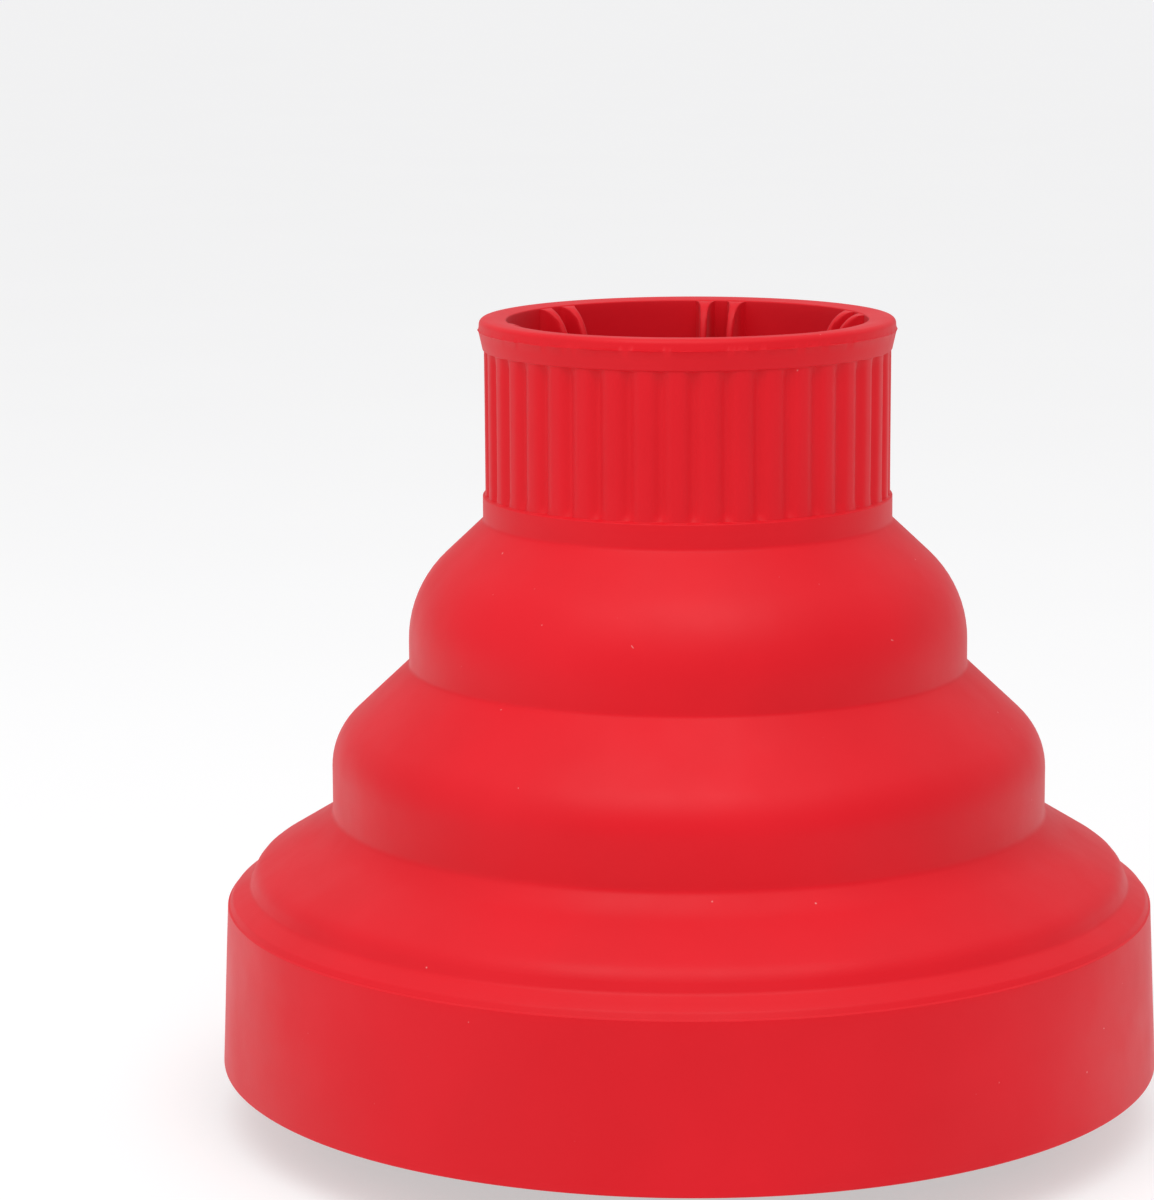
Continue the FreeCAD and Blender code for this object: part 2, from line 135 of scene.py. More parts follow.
class NeckSizes(bpy.types.PropertyGroup):
    """Ribs and grip fins of the neck."""

    ribs: IntProperty(
        name="Ribs", default=40, min=8,
        description="Upright ribs round the neck")
    rib_r: FloatProperty(
        name="Rib radius", default=28.75 * MM, unit="LENGTH",
        description="Radius at the crest of a rib")
    rib_depth: FloatProperty(
        name="Rib depth", default=0.75 * MM, unit="LENGTH",
        description="Height of a rib over the groove beside it")
    rib_fullness: FloatProperty(
        name="Rib fullness", default=1.7, min=1.0, max=4.0,
        description="How broad the ribs are beside their grooves, from 1, as broad, upwards")
    band_h: FloatProperty(
        name="Band height", default=3.6 * MM, unit="LENGTH",
        description="Height of the plain band under the ribs")
    rib_h: FloatProperty(
        name="Rib height", default=20.8 * MM, unit="LENGTH",
        description="Length of a rib")
    taper_h: FloatProperty(
        name="Rim taper", default=2.7 * MM, unit="LENGTH",
        description="Height of the flare under the rim's parting line")
    fin_pairs: IntProperty(
        name="Fin pairs", default=6, min=2,
        description="Pairs of grip fins inside the neck")
    fin_turn: FloatProperty(
        name="Fin turn", default=math.radians(77.0), subtype="ANGLE",
        description="Angle of the first pair of fins from +X")
    fin_gap: FloatProperty(
        name="Fin gap", default=math.radians(10.4), subtype="ANGLE",
        description="Angle between the two fins of a pair")
    fin_t: FloatProperty(
        name="Fin thickness", default=1.4 * MM, unit="LENGTH",
        description="Thickness of a fin")
    fin_reach: FloatProperty(
        name="Fin reach", default=4.5 * MM, unit="LENGTH",
        description="How far a fin stands in from the bore")


class SiliconeLook(bpy.types.PropertyGroup):
    """Finish of the soft red silicone."""

    colour: FloatVectorProperty(
        name="Colour", subtype="COLOR", size=3, min=0, max=1, default=(0.72, 0.0020, 0.0110),
        description="Main colour of the silicone")
    deep: FloatVectorProperty(
        name="Deep colour", subtype="COLOR", size=3, min=0, max=1, default=(0.67, 0.0014, 0.0090),
        description="Colour where the pigment lies thicker")
    roughness: FloatProperty(
        name="Roughness", default=0.50, min=0, max=1, subtype="FACTOR",
        description="Mean roughness of the moulded surface")
    sheen: FloatProperty(
        name="Sheen", default=0.09, min=0, max=1, subtype="FACTOR",
        description="Soft glow of the powdery surface at its edges")


class PlasticLook(bpy.types.PropertyGroup):
    """Finish of the black plate and its fingers."""

    colour: FloatVectorProperty(
        name="Colour", subtype="COLOR", size=3, min=0, max=1, default=(0.018, 0.018, 0.017),
        description="Colour of the moulded plastic")
    edge: FloatProperty(
        name="Edge rounding", default=0.18 * MM, unit="LENGTH",
        description="Width of the rounding that the mould leaves on edges")
    plate_roughness: FloatProperty(
        name="Plate roughness", default=0.42, min=0, max=1, subtype="FACTOR",
        description="Mean roughness of the plate")
    finger_roughness: FloatProperty(
        name="Finger roughness", default=0.30, min=0, max=1, subtype="FACTOR",
        description="Mean roughness of the fingers")


class StageLook(bpy.types.PropertyGroup):
    """Camera, light and floor."""

    lens: FloatProperty(
        name="Lens", default=114.7, min=10,
        description="Focal length in millimetres on a 36 mm sensor")
    distance: FloatProperty(
        name="Distance", default=538.1 * MM, unit="LENGTH",
        description="Level distance from the camera to the object's axis")
    height: FloatProperty(
        name="Height", default=163.1 * MM, unit="LENGTH",
        description="Height of the camera above the mouth")
    pitch: FloatProperty(
        name="Pitch", default=math.radians(10.20), subtype="ANGLE",
        description="How far the camera looks down")
    roll: FloatProperty(
        name="Roll", default=math.radians(-0.344), subtype="ANGLE",
        description="How far the camera leans to one side")
    aside: FloatProperty(
        name="Aside", default=15.8 * MM, unit="LENGTH",
        description="How far the camera stands to the left of the object")
    floor: FloatVectorProperty(
        name="Floor colour", subtype="COLOR", size=3, min=0, max=1, default=(0.50, 0.50, 0.50),
        description="Colour of the pale floor")
    floor_glow: FloatProperty(
        name="Floor glow", default=0.50, min=0, max=1, subtype="FACTOR",
        description="Light that comes up through the floor, as on a lit table")
    horizon: FloatVectorProperty(
        name="Horizon", subtype="COLOR", size=3, min=0, max=2, default=(0.35, 0.35, 0.36),
        description="Light from the sides of the studio")
    zenith: FloatVectorProperty(
        name="Zenith", subtype="COLOR", size=3, min=0, max=2, default=(0.85, 0.85, 0.86),
        description="Light from the studio's ceiling")
    key: FloatProperty(
        name="Key light", default=2.55, min=0,
        description="Power of the large overhead light in watts")


# ------------------------------------------------------------------ mesh helpers

def rounded(corners, step=math.radians(15)):
    """A closed outline of (r, z, fillet) corners, with an arc at each corner that has a fillet."""
    outline = []
    for i, (r, z, fillet) in enumerate(corners):
        here = Vector((r, z))
        before = Vector(corners[i - 1][:2]) - here
        after = Vector(corners[(i + 1) % len(corners)][:2]) - here
        turn = math.pi - before.angle(after)
        if fillet <= 0 or turn < math.radians(1):
            outline.append((r, z))
            continue
        reach = fillet * math.tan(turn / 2)
        reach = min(reach, 0.49 * before.length, 0.49 * after.length)
        radius = reach / math.tan(turn / 2)
        middle = (before.normalized() + after.normalized()).normalized()
        centre = here + middle * (radius / math.cos(turn / 2))
        first = here + before.normalized() * reach - centre
        last = here + after.normalized() * reach - centre
        count = max(2, math.ceil(turn / step))
        for k in range(count + 1):
            along = first.lerp(last, k / count)
            spot = centre + along.normalized() * radius
            outline.append((spot.x, spot.y))
    return outline


def spaced(outline, longest):
    """The outline with points added so that no side is longer than longest."""
    out = []
    for (r0, z0), (r1, z1) in zip(outline, outline[1:] + outline[:1]):
        count = max(1, math.ceil(math.hypot(r1 - r0, z1 - z0) / longest))
        for k in range(count):
            out.append((r0 + (r1 - r0) * k / count, z0 + (z1 - z0) * k / count))
    return out


def arc(centre_r, centre_z, radius, start, end, count):
    """Corners along an arc in the outline's plane, from start to end in degrees."""
    corners = []
    for k in range(count + 1):
        turn = math.radians(start + (end - start) * k / count)
        corners.append((centre_r + radius * math.cos(turn), centre_z + radius * math.sin(turn), 0))
    return corners


def new_object(name, mesh, body):
    """Link a finished mesh as a shaded piece, and let it ride on a body if one is given."""
    piece = bpy.data.objects.new(name, mesh)
    bpy.context.scene.collection.objects.link(piece)
    mesh.polygons.foreach_set("use_smooth", [True] * len(mesh.polygons))
    mesh.set_sharp_from_angle(angle=SHARP)
    if body:
        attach(piece, body)
    return piece


def turned_mesh(name, outline, segments, shape=None):
    """Closed mesh of an outline swept about the axis. shape(r, z, angle) may move each point."""
    mesh = bpy.data.meshes.new(name)
    points = []
    for j in range(segments):
        angle = math.tau * j / segments
        for r, z in outline:
            if shape:
                r, z = shape(r, z, angle)
            points.append((r * math.cos(angle), r * math.sin(angle), z))
    size = len(outline)
    faces = []
    for j in range(segments):
        for i in range(size):
            after = (i + 1) % size
            here, there = j * size, (j + 1) % segments * size
            faces.append((here + i, there + i, there + after, here + after))
    mesh.from_pydata(points, [], faces)
    work = bmesh.new()
    work.from_mesh(mesh)
    bmesh.ops.recalc_face_normals(work, faces=work.faces)
    work.to_mesh(mesh)
    work.free()
    mesh.update()
    return mesh


def soft_wave(amount, scale, seed):
    """A shape function: the slight unevenness of a soft moulding."""
    def shape(r, z, angle):
        spot = Vector((r * math.cos(angle), r * math.sin(angle), z)) * scale
        return r + amount * noise.noise(spot + Vector((seed, seed, seed))), z
    return shape


# ------------------------------------------------------------------ materials

def new_material(name):
    """An empty node material, its links, and its shader."""
    material = bpy.data.materials.new(name)
    material.use_nodes = True
    tree = material.node_tree
    shader = tree.nodes["Principled BSDF"]
    return material, tree, shader


def noise_node(tree, scale, detail, roughness, coords):
    """The value of a noise with this many features per metre."""
    node = tree.nodes.new("ShaderNodeTexNoise")
    node.inputs["Scale"].default_value = scale
    node.inputs["Detail"].default_value = detail
    node.inputs["Roughness"].default_value = roughness
    tree.links.new(coords, node.inputs["Vector"])
    return node.outputs["Fac"]


def ranged(tree, value, low, high, to_low, to_high):
    """Map a value from low..high to to_low..to_high, held at its ends."""
    node = tree.nodes.new("ShaderNodeMapRange")
    node.inputs["From Min"].default_value = low
    node.inputs["From Max"].default_value = high
    node.inputs["To Min"].default_value = to_low
    node.inputs["To Max"].default_value = to_high
    tree.links.new(value, node.inputs["Value"])
    return node.outputs["Result"]


def mixed(tree, share, first, second):
    """Mix two colours, each a colour or a socket, by a share socket."""
    node = tree.nodes.new("ShaderNodeMix")
    node.data_type = "RGBA"
    tree.links.new(share, node.inputs["Factor"])
    for name, value in (("A", first), ("B", second)):
        socket = [s for s in node.inputs if s.name == name and s.type == "RGBA"][0]
        if isinstance(value, bpy.types.NodeSocket):
            tree.links.new(value, socket)
        else:
            socket.default_value = (*value, 1.0)
    return [s for s in node.outputs if s.type == "RGBA"][0]


def bumped(tree, shader, layers):
    """Chain bump layers, each (height socket, strength, distance), into the shader."""
    normal = None
    for height, strength, distance in layers:
        node = tree.nodes.new("ShaderNodeBump")
        node.inputs["Strength"].default_value = strength
        node.inputs["Distance"].default_value = distance
        tree.links.new(height, node.inputs["Height"])
        if normal:
            tree.links.new(normal, node.inputs["Normal"])
        normal = node.outputs["Normal"]
    tree.links.new(normal, shader.inputs["Normal"])


def object_coords(tree):
    """The piece's own coordinates, in metres."""
    return tree.nodes.new("ShaderNodeTexCoord").outputs["Object"]


def silicone_material(look):
    """Soft-touch red silicone: cloudy pigment, a fine grain, faint flow marks and dust."""
    material, tree, shader = new_material("red_silicone")
    coords = object_coords(tree)
    cloud = ranged(tree, noise_node(tree, 26.0, 3.0, 0.55, coords), 0.38, 0.66, 0.0, 1.0)
    colour = mixed(tree, cloud, look.deep, look.colour)
    dust = ranged(tree, noise_node(tree, 900.0, 1.0, 0.4, coords), 0.82, 0.85, 0.0, 0.35)
    colour = mixed(tree, dust, colour, (0.85, 0.62, 0.60))
    tree.links.new(colour, shader.inputs["Base Color"])
    smudge = noise_node(tree, 60.0, 4.0, 0.6, coords)
    rough = ranged(tree, smudge, 0.3, 0.7, look.roughness - 0.06, look.roughness + 0.07)
    tree.links.new(rough, shader.inputs["Roughness"])
    grain = noise_node(tree, 2600.0, 2.0, 0.6, coords)
    wave = noise_node(tree, 110.0, 2.0, 0.5, coords)
    bumped(tree, shader, [(wave, 0.10, 0.0006), (grain, 0.16, 0.00006)])
    shader.inputs["Specular IOR Level"].default_value = 0.25
    shader.inputs["Sheen Weight"].default_value = look.sheen
    shader.inputs["Sheen Roughness"].default_value = 0.45
    shader.inputs["Sheen Tint"].default_value = (1.0, 0.60, 0.66, 1.0)
    return material


def plastic_material(name, look, roughness, grain_strength):
    """Black moulded plastic with a fine spark-eroded grain and slightly worn shine."""
    material, tree, shader = new_material(name)
    coords = object_coords(tree)
    cloud = ranged(tree, noise_node(tree, 45.0, 3.0, 0.6, coords), 0.3, 0.7, 0.0, 1.0)
    lighter = tuple(c * 1.6 + 0.004 for c in look.colour)
    tree.links.new(mixed(tree, cloud, look.colour, lighter), shader.inputs["Base Color"])
    rub = noise_node(tree, 140.0, 3.0, 0.6, coords)
    rough = ranged(tree, rub, 0.3, 0.7, roughness - 0.07, roughness + 0.10)
    tree.links.new(rough, shader.inputs["Roughness"])
    grain = noise_node(tree, 3200.0, 2.0, 0.6, coords)
    bumped(tree, shader, [(grain, grain_strength, 0.00005)])
    shader.inputs["Specular IOR Level"].default_value = 0.5
    return material


def shared_material(name, make):
    """The material of that name, made on its first use."""
    return bpy.data.materials.get(name) or make()


def silicone():
    """The body's material."""
    look = bpy.context.scene.diffuser_silicone
    return shared_material("red_silicone", lambda: silicone_material(look))


def plate_plastic():
    """The material of the plate, its baffle and its hub disc."""
    look = bpy.context.scene.diffuser_plastic
    name = "black_plate_plastic"
    return shared_material(name, lambda: plastic_material(name, look, look.plate_roughness, 0.30))


def finger_plastic():
    """The glossier material of the fingers."""
    look = bpy.context.scene.diffuser_plastic
    name = "black_finger_plastic"
    return shared_material(name, lambda: plastic_material(name, look, look.finger_roughness, 0.12))


def dress(piece, material):
    """Give a piece its material."""
    piece.data.materials.clear()
    piece.data.materials.append(material)


# ------------------------------------------------------------------ silicone body

WAVE = soft_wave(0.10 * MM, 38.0, 7.0)


def web_top(next_r, next_z, next_wall, slope, web):
    """Corners from a web's upper end, through its soft crease, to where the next wall starts.

    slope is the web's angle from the vertical. The last corner lies on the web's inner face.
    """
    reach = (SEAM + web / math.sin(slope)) * math.tan(slope)
    corners = [(next_r, next_z, CREASE), (next_r, next_z + SEAM, 0)]
    if reach < next_wall:
        return corners + [(next_r - reach, next_z + SEAM, 0)]
    inner_r = next_r - next_wall
    inner_z = next_z + next_wall / math.tan(slope) - web / math.sin(slope)
    return corners + [(inner_r, next_z + SEAM, 0), (inner_r, inner_z, CREASE / 2)]


def drum_outline(sizes):
    """Skirt, mouth lip, plate groove, shoulder bead and the lower web, as one closed outline."""
    shoulder_z = MOUTH_Z + sizes.shoulder_rise
    slope = math.atan2(sizes.valley_r - MIDDLE_R, MIDDLE_FOOT_Z - VALLEY_Z)
    wall_r = sizes.shoulder_r - 2.6 * MM
    play, plate_edge = 0.1 * MM, 2.0 * MM
    groove_r = PLATE_R + play
    groove_low, groove_high = PLATE_Z - play, PLATE_Z + plate_edge + play
    show_r = PLATE_R - 1.9 * MM
    stop_r = show_r + 0.7 * MM
    lip_r = sizes.mouth_r - 3.0 * MM
    outline = [
        (sizes.mouth_r, MOUTH_Z, 0.3 * MM),
        (sizes.shoulder_r + 0.06 * MM, shoulder_z - 0.1 * MM, 0.08 * MM),
        (sizes.shoulder_r - 0.22 * MM, shoulder_z + 0.06 * MM, 0.15 * MM),
        (sizes.shoulder_r - 0.65 * MM, shoulder_z + 0.85 * MM, 0.8 * MM),
        (sizes.valley_r + 0.4 * MM, VALLEY_Z - 1.4 * MM, 1.0 * MM),
        (sizes.valley_r - 0.5 * MM, VALLEY_Z + 1.2 * MM, 6.0 * MM),
        (MIDDLE_R + 2.0 * MM, MIDDLE_FOOT_Z - 2.5 * MM, 8.0 * MM),
        (MIDDLE_R, MIDDLE_FOOT_Z - 0.3 * MM, 2.2 * MM),
        (MIDDLE_R, MIDDLE_FOOT_Z + SEAM, 0),
    ]
    outline += web_top(MIDDLE_R, MIDDLE_FOOT_Z, sizes.ring_wall, slope, sizes.web_wall)[2:]
    return rounded(outline + [
        (sizes.valley_r - 1.3 * sizes.web_wall, VALLEY_Z - 0.6 * MM, 1.5 * MM),
        (sizes.valley_r - sizes.web_wall, VALLEY_Z - 2.8 * MM, 0.8 * MM),
        (wall_r, shoulder_z, 1.0 * MM),
        (wall_r, groove_high + 4.7 * MM, 1.0 * MM),
        (stop_r, groove_high + 2.1 * MM, 0.4 * MM),
        (stop_r, groove_high, 0),
        (groove_r, groove_high, 0),
        (groove_r, groove_low, 0),
        (show_r + 0.3 * MM, groove_low, 0.3 * MM),
        (show_r + 0.2 * MM, groove_low - 1.0 * MM, 0.9 * MM),
        (lip_r - 0.6 * MM, MOUTH_Z + 0.7 * MM, 0.9 * MM),
        (lip_r + 0.2 * MM, MOUTH_Z, 0.5 * MM),
    ])


def fold_outline(wall_r, foot_z, web_z, next_r, next_z, next_wall, sizes):
    """An upright wall and the dome web above it, as one closed outline.

    bend is the dome's radius, which lets it leave the wall upright and reach the next wall's foot
    at the angle lean.
    """
    lean = sizes.dome_lean
    run, height = wall_r - next_r, next_z - web_z
    spare = math.sin(lean) - (1 - math.cos(lean)) / math.tan(lean)
    bend = (height - run / math.tan(lean)) / spare
    centre_r = wall_r - bend
    turn = math.degrees(lean)
    corners = [(wall_r, foot_z + SEAM, 0)]
    corners += arc(centre_r, web_z, bend, 0, turn, 10)
    corners += web_top(next_r, next_z, next_wall, lean, sizes.web_wall)
    corners += arc(centre_r, web_z, bend - sizes.web_wall, turn, 0, 8)
    inner_r = wall_r - sizes.ring_wall
    return rounded(corners + [(inner_r, web_z - 1.2 * MM, 0.6 * MM), (inner_r, foot_z + SEAM, 0)])


def folded_piece(name, outline, nodes, sizes):
    """A silicone piece of a fold, turned from its outline, in place of the frame's nodes, which
    are hidden.
    """
    mesh = turned_mesh(name, spaced(outline, FINE), sizes.segments, WAVE)
    piece = new_object(name, mesh, None)
    dress(piece, silicone())
    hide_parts(*nodes)
    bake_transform(piece)


class DIFFUSER_OT_drum(bpy.types.Operator):
    """Make the drum with its mouth lip and the lower fold's web"""

    bl_idname = "diffuser.drum"
    bl_label = "Drum and lower fold"

    def execute(self, context):
        sizes = context.scene.diffuser_body
        folded_piece(
            "silicone_drum", drum_outline(sizes), ("drum", "lower_fold_web"),
            sizes)
        return {"FINISHED"}


class DIFFUSER_OT_middle_fold(bpy.types.Operator):
    """Make the middle ring and its dome web"""

    bl_idname = "diffuser.middle_fold"
    bl_label = "Middle fold"

    def execute(self, context):
        sizes = context.scene.diffuser_body
        outline = fold_outline(
            MIDDLE_R, MIDDLE_FOOT_Z, MIDDLE_WEB_Z, UPPER_R, UPPER_FOOT_Z, sizes.ring_wall, sizes)
        folded_piece(
            "silicone_middle_fold", outline, ("middle_ring", "middle_fold_web"),
            sizes)
        return {"FINISHED"}


class DIFFUSER_OT_upper_fold(bpy.types.Operator):
    """Make the upper ring and its dome web"""

    bl_idname = "diffuser.upper_fold"
    bl_label = "Upper fold"

    def execute(self, context):
        sizes = context.scene.diffuser_body
        outline = fold_outline(
            UPPER_R, UPPER_FOOT_Z, UPPER_WEB_Z, sizes.band_r, NECK_FOOT_Z,
            sizes.band_r - sizes.bore_r, sizes)
        folded_piece(
            "silicone_upper_fold", outline, ("upper_ring", "upper_fold_web"),
            sizes)
        return {"FINISHED"}


def neck_levels(neck):
    """Levels of the ribs' feet, of their tops, and of the rim's parting line."""
    rib_z = NECK_FOOT_Z + neck.band_h
    taper_z = rib_z + neck.rib_h
    return rib_z, taper_z, taper_z + neck.taper_h


def neck_outline(body, neck):
    """Band, rib crests, flared rim with a flash line and a crowned top, and the bore."""
    rib_z, taper_z, parting_z = neck_levels(neck)
    return rounded([
        (body.band_r, NECK_FOOT_Z + SEAM, 0),
        (body.band_r, rib_z, 0.25 * MM),
        (neck.rib_r, rib_z + 0.12 * MM, 0.1 * MM),
        (neck.rib_r, taper_z - 0.12 * MM, 0.1 * MM),
        (neck.rib_r + 0.16 * MM, taper_z, 0.1 * MM),
        (PARTING_R - 0.12 * MM, parting_z - 0.12 * MM, 0),
        (PARTING_R, parting_z, 0),
        (PARTING_R - 0.14 * MM, parting_z + 0.07 * MM, 0),
        (PARTING_R - 0.25 * MM, TOP_Z - 0.15 * MM, 0.8 * MM),
        (PARTING_R - 1.9 * MM, TOP_Z, 2.5 * MM),
        (body.bore_r + 0.05 * MM, TOP_Z - 0.3 * MM, 0.22 * MM),
        (body.bore_r, TOP_Z - 1.4 * MM, 0),
        (body.bore_r, NECK_FOOT_Z + SEAM, 0),
    ])


class DIFFUSER_OT_neck(bpy.types.Operator):
    """Make the ribbed neck sleeve with its crowned rim and nicked flash line"""

    bl_idname = "diffuser.neck"
    bl_label = "Neck sleeve"

    def execute(self, context):
        body = context.scene.diffuser_body
        neck = context.scene.diffuser_neck
        rib_z, taper_z, _ = neck_levels(neck)
        edge = 0.5 * MM
        flash = 0.13 * MM

        def shape(r, z, angle):
            """Sink the grooves between the ribs, and nick the flash line of the rim."""
            if r > body.bore_r + 1.5 * MM and rib_z < z < taper_z - 0.05 * MM:
                across = abs((angle * neck.ribs / math.tau) % 1.0 - 0.5) * 2
                groove = 0.5 - 0.5 * math.cos(math.pi * across ** neck.rib_fullness)
                fade = min(1.0, max(0.0, min(z - rib_z, taper_z - z) / edge))
                r -= neck.rib_depth * groove * fade ** 0.5
            if r > PARTING_R - 0.05 * MM:
                spot = Vector((math.cos(angle), math.sin(angle), 0)) * 21
                nick = max(0.0, noise.noise(spot) - 0.12) * 3.5
                r -= flash * min(1.0, nick)
                z += 0.05 * MM * noise.noise(spot * 0.7 + Vector((5, 0, 0)))
            return WAVE(r, z, angle)

        outline = spaced(neck_outline(body, neck), FINE)
        mesh = turned_mesh("silicone_neck", outline, neck.ribs * 16, shape)
        piece = new_object("silicone_neck", mesh, "neck_body")
        dress(piece, silicone())
        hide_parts("neck_sleeve")
        return {"FINISHED"}


def fin_mesh(body, neck, turn):
    """A blade that stands in from the bore, flared at its root, with a curved lead-in top.

    It is built up in rows from its foot. shares are the points of one side, from root to tip, and
    tips narrows the last two, which rounds the tip.
    """
    buried = 0.3 * MM
    root_r = body.bore_r + buried
    top_z = TOP_Z - 0.45 * MM
    lead = 7.0 * MM
    flare = 0.9 * MM
    rows = 44
    shares = (0.0, 0.06, 0.13, 0.22, 0.35, 0.5, 0.68, 0.86, 0.965, 1.0)
    tips = {0.965: 0.85, 1.0: 0.4}
    size = 2 * len(shares)
    mesh = bpy.data.meshes.new("fin")
    points, faces = [], []
    foot_z = NECK_FOOT_Z + SEAM
    for k in range(rows + 1):
        z = foot_z + (top_z - foot_z) * (1 - (1 - k / rows) ** 2)
        above = max(0.0, z - (top_z - lead)) / lead
        depth = buried + neck.fin_reach * math.sqrt(max(0.0, 1 - above ** 2))
        side = []
        for share in shares:
            into = max(0.0, depth * share - buried)
            broad = 0.72 + 1.3 * math.exp(-into / flare)
            half = neck.fin_t / 2 * broad * tips.get(share, 1.0)
            side.append((root_r - depth * share, half))
        points += [(r, -half, z) for r, half in side]
        points += [(r, half, z) for r, half in reversed(side)]
    for k in range(rows):
        for i in range(size):
            a, b = k * size + i, k * size + (i + 1) % size
            faces.append((a, b, b + size, a + size))
    faces.append(tuple(reversed(range(size))))
    faces.append(tuple(range(rows * size, (rows + 1) * size)))
    mesh.from_pydata(points, [], faces)
    mesh.transform(Matrix.Rotation(turn, 4, "Z"))
    return mesh


class DIFFUSER_OT_grip_fins(bpy.types.Operator):
    """Make the pairs of grip fins inside the neck"""

    bl_idname = "diffuser.grip_fins"
    bl_label = "Grip fins"

    def execute(self, context):
        body = context.scene.diffuser_body
        neck = context.scene.diffuser_neck
        work = bmesh.new()
        for pair in range(neck.fin_pairs):
            middle = neck.fin_turn + math.tau * pair / neck.fin_pairs
            for side in (-1, 1):
                blade = fin_mesh(body, neck, middle + side * neck.fin_gap / 2)
                work.from_mesh(blade)
                bpy.data.meshes.remove(blade)
        bmesh.ops.recalc_face_normals(work, faces=work.faces)
        mesh = bpy.data.meshes.new("silicone_grip_fins")
        work.to_mesh(mesh)
        work.free()
        piece = new_object("silicone_grip_fins", mesh, "neck_body")
        dress(piece, silicone())
        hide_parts("nozzle_grip_fins")
        return {"FINISHED"}


# ------------------------------------------------------------------ plate and fingers

def moulded(node_name, material, width, flat=0.0):
    """A copy of a hard node with its corners rounded as a mould leaves them.

    width is the rounding's width. Faces that meet at less than the angle flat become one first.
    """
    work = bmesh.new()
    work.from_mesh(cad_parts[node_name].data)
    bmesh.ops.remove_doubles(work, verts=work.verts, dist=0.001 * MM)
    if flat:
        bmesh.ops.dissolve_limit(work, angle_limit=flat, verts=work.verts, edges=work.edges)
    corners = [edge for edge in work.edges if edge.calc_face_angle(0.0) > CORNER]
    bmesh.ops.bevel(work, geom=corners, offset=width, segments=2, profile=0.5, affect="EDGES")
    mesh = bpy.data.meshes.new("moulded_" + node_name)
    work.to_mesh(mesh)
    work.free()
    piece = new_object(mesh.name, mesh, "drum_body")
    normals = piece.modifiers.new("even_shading", "WEIGHTED_NORMAL")
    normals.keep_sharp = True
    dress(piece, material)
    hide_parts(node_name)


class DIFFUSER_OT_plate(bpy.types.Operator):
    """Make the honeycomb plate, its baffle and its hub disc, with soft moulded edges"""

    bl_idname = "diffuser.plate"
    bl_label = "Honeycomb plate"

    def execute(self, context):
        width = context.scene.diffuser_plastic.edge
        moulded("honeycomb_plate", plate_plastic(), width, math.radians(0.3))
        moulded("back_baffle", plate_plastic(), width)
        moulded("hub_disc", plate_plastic(), width / 2)
        return {"FINISHED"}


class DIFFUSER_OT_fingers(bpy.types.Operator):
    """Make the outer and inner fingers with soft moulded edges"""

    bl_idname = "diffuser.fingers"
    bl_label = "Fingers"

    def execute(self, context):
        width = context.scene.diffuser_plastic.edge
        for name in list(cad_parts):
            if "finger" in name:
                moulded(name, finger_plastic(), width, math.radians(1.0))
        return {"FINISHED"}


# ------------------------------------------------------------------ stage

def area_light(name, place, target, size, power):
    """A rectangular lamp at place that shines towards target."""
    data = bpy.data.lights.new(name, "AREA")
    data.shape = "RECTANGLE"
    data.size, data.size_y = size
    data.energy = power
    lamp = bpy.data.objects.new(name, data)
    lamp.location = place
    lamp.rotation_euler = (Vector(target) - Vector(place)).to_track_quat("-Z", "Y").to_euler()
    bpy.context.scene.collection.objects.link(lamp)


def place_camera(scene, look):
    """Set the camera up at the look's place, pitch and roll."""
    data = bpy.data.cameras.new("camera")
    data.lens = look.lens
    data.sensor_width = 36.0
    data.clip_start, data.clip_end = 0.01, 20.0
    camera = bpy.data.objects.new("camera", data)
    camera.location = (-look.aside, -look.distance, MOUTH_Z + look.height)
    level = Matrix.Rotation(math.pi / 2 - look.pitch, 3, "X")
    camera.rotation_euler = (level @ Matrix.Rotation(look.roll, 3, "Z")).to_euler()
    scene.collection.objects.link(camera)
    scene.camera = camera


def lay_floor(scene, look):
    """Lay a wide pale floor that glows a little."""
    side = 30.0
    mesh = bpy.data.meshes.new("floor")
    corners = [(-side, -side, 0), (side, -side, 0), (side, side, 0), (-side, side, 0)]
    mesh.from_pydata(corners, [], [(0, 1, 2, 3)])
    floor = bpy.data.objects.new("floor", mesh)
    scene.collection.objects.link(floor)
    material, tree, shader = new_material("pale_floor")
    patches = noise_node(tree, 9.0, 3.0, 0.5, object_coords(tree))
    speckle = ranged(tree, patches, 0.3, 0.7, 0.0, 1.0)
    darker = tuple(c * 0.985 for c in look.floor)
    tree.links.new(mixed(tree, speckle, darker, look.floor), shader.inputs["Base Color"])
    shader.inputs["Roughness"].default_value = 0.75
    shader.inputs["Emission Color"].default_value = (1.0, 1.0, 1.0, 1.0)
    shader.inputs["Emission Strength"].default_value = look.floor_glow
    mesh.materials.append(material)


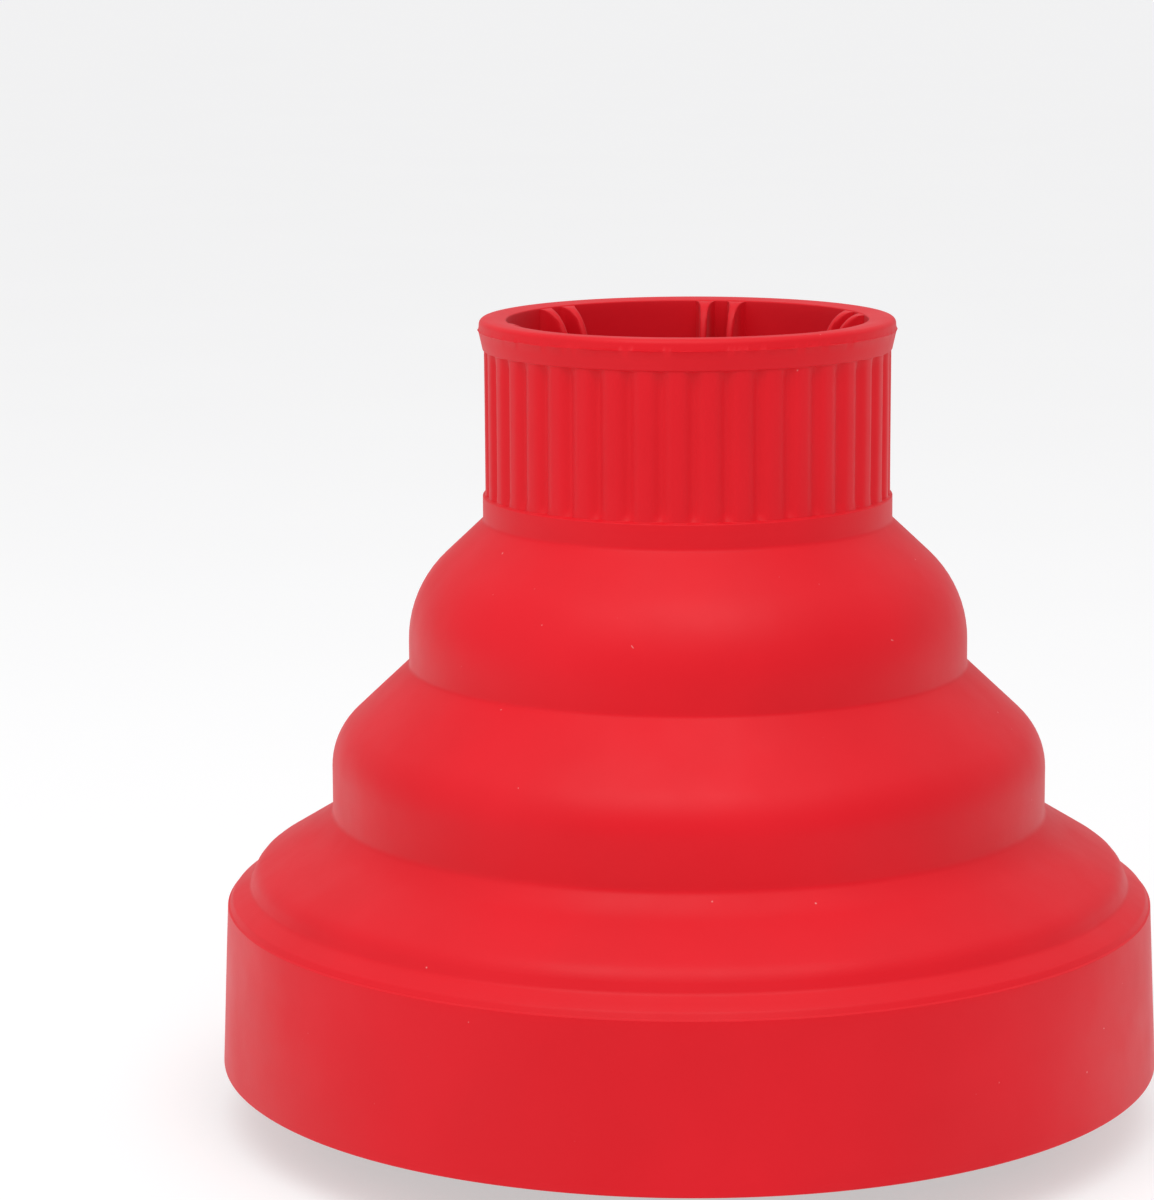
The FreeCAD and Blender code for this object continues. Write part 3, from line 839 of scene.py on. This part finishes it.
def light_studio(scene, look):
    """Light the studio from its ceiling and walls, which show as plain white."""
    world = bpy.data.worlds.new("studio")
    world.use_nodes = True
    tree = world.node_tree
    coords = tree.nodes.new("ShaderNodeTexCoord").outputs["Generated"]
    heading = tree.nodes.new("ShaderNodeSeparateXYZ")
    tree.links.new(coords, heading.inputs["Vector"])
    height = ranged(tree, heading.outputs["Z"], 0.0, 0.9, 0.0, 1.0)
    light = tree.nodes["Background"]
    tree.links.new(mixed(tree, height, look.horizon, look.zenith), light.inputs["Color"])
    backdrop = tree.nodes.new("ShaderNodeBackground")
    backdrop.inputs["Color"].default_value = (1.0, 1.0, 1.0, 1.0)
    seen = tree.nodes.new("ShaderNodeLightPath").outputs["Is Camera Ray"]
    choice = tree.nodes.new("ShaderNodeMixShader")
    tree.links.new(seen, choice.inputs["Fac"])
    tree.links.new(light.outputs["Background"], choice.inputs[1])
    tree.links.new(backdrop.outputs["Background"], choice.inputs[2])
    tree.links.new(choice.outputs["Shader"], tree.nodes["World Output"].inputs["Surface"])
    scene.world = world
    middle = (0, 0, 0.055)
    area_light("key_light", (-0.04, -0.32, 0.66), middle, (0.7, 0.5), look.key)
    area_light("left_light", (-0.95, -0.45, 0.40), middle, (0.8, 0.8), look.key * 0.4)
    scene.view_settings.view_transform = "Standard"


class DIFFUSER_OT_stage(bpy.types.Operator):
    """Make the camera, the pale floor and the soft studio light"""

    bl_idname = "diffuser.stage"
    bl_label = "Stage"

    def execute(self, context):
        look = context.scene.diffuser_stage
        place_camera(context.scene, look)
        lay_floor(context.scene, look)
        light_studio(context.scene, look)
        return {"FINISHED"}


# ------------------------------------------------------------------ add-on

GROUPS = {
    "diffuser_body": BodySizes,
    "diffuser_neck": NeckSizes,
    "diffuser_silicone": SiliconeLook,
    "diffuser_plastic": PlasticLook,
    "diffuser_stage": StageLook,
}
OPERATORS = (
    DIFFUSER_OT_stage,
    DIFFUSER_OT_drum,
    DIFFUSER_OT_middle_fold,
    DIFFUSER_OT_upper_fold,
    DIFFUSER_OT_neck,
    DIFFUSER_OT_grip_fins,
    DIFFUSER_OT_plate,
    DIFFUSER_OT_fingers,
)


class DIFFUSER_PT_panel(bpy.types.Panel):
    """Sizes, looks and the pieces that can be made"""

    bl_idname = "DIFFUSER_PT_panel"
    bl_label = "Dryer diffuser"
    bl_space_type = "VIEW_3D"
    bl_region_type = "UI"
    bl_category = "Diffuser"

    def draw(self, context):
        for group_name, group in GROUPS.items():
            box = self.layout.box()
            box.label(text=group.__doc__)
            for name in group.__annotations__:
                box.prop(getattr(context.scene, group_name), name)
        for operator in OPERATORS:
            self.layout.operator(operator.bl_idname)


def register():
    for group_name, group in GROUPS.items():
        bpy.utils.register_class(group)
        setattr(bpy.types.Scene, group_name, PointerProperty(type=group))
    for cls in OPERATORS + (DIFFUSER_PT_panel,):
        bpy.utils.register_class(cls)


def unregister():
    for cls in reversed(OPERATORS + (DIFFUSER_PT_panel,)):
        bpy.utils.unregister_class(cls)
    for group_name, group in reversed(GROUPS.items()):
        delattr(bpy.types.Scene, group_name)
        bpy.utils.unregister_class(group)


def main():
    """Make every piece in order."""
    register()
    for operator in OPERATORS:
        group, name = operator.bl_idname.split(".")
        getattr(getattr(bpy.ops, group), name)()


if __name__ == "__main__":
    main()
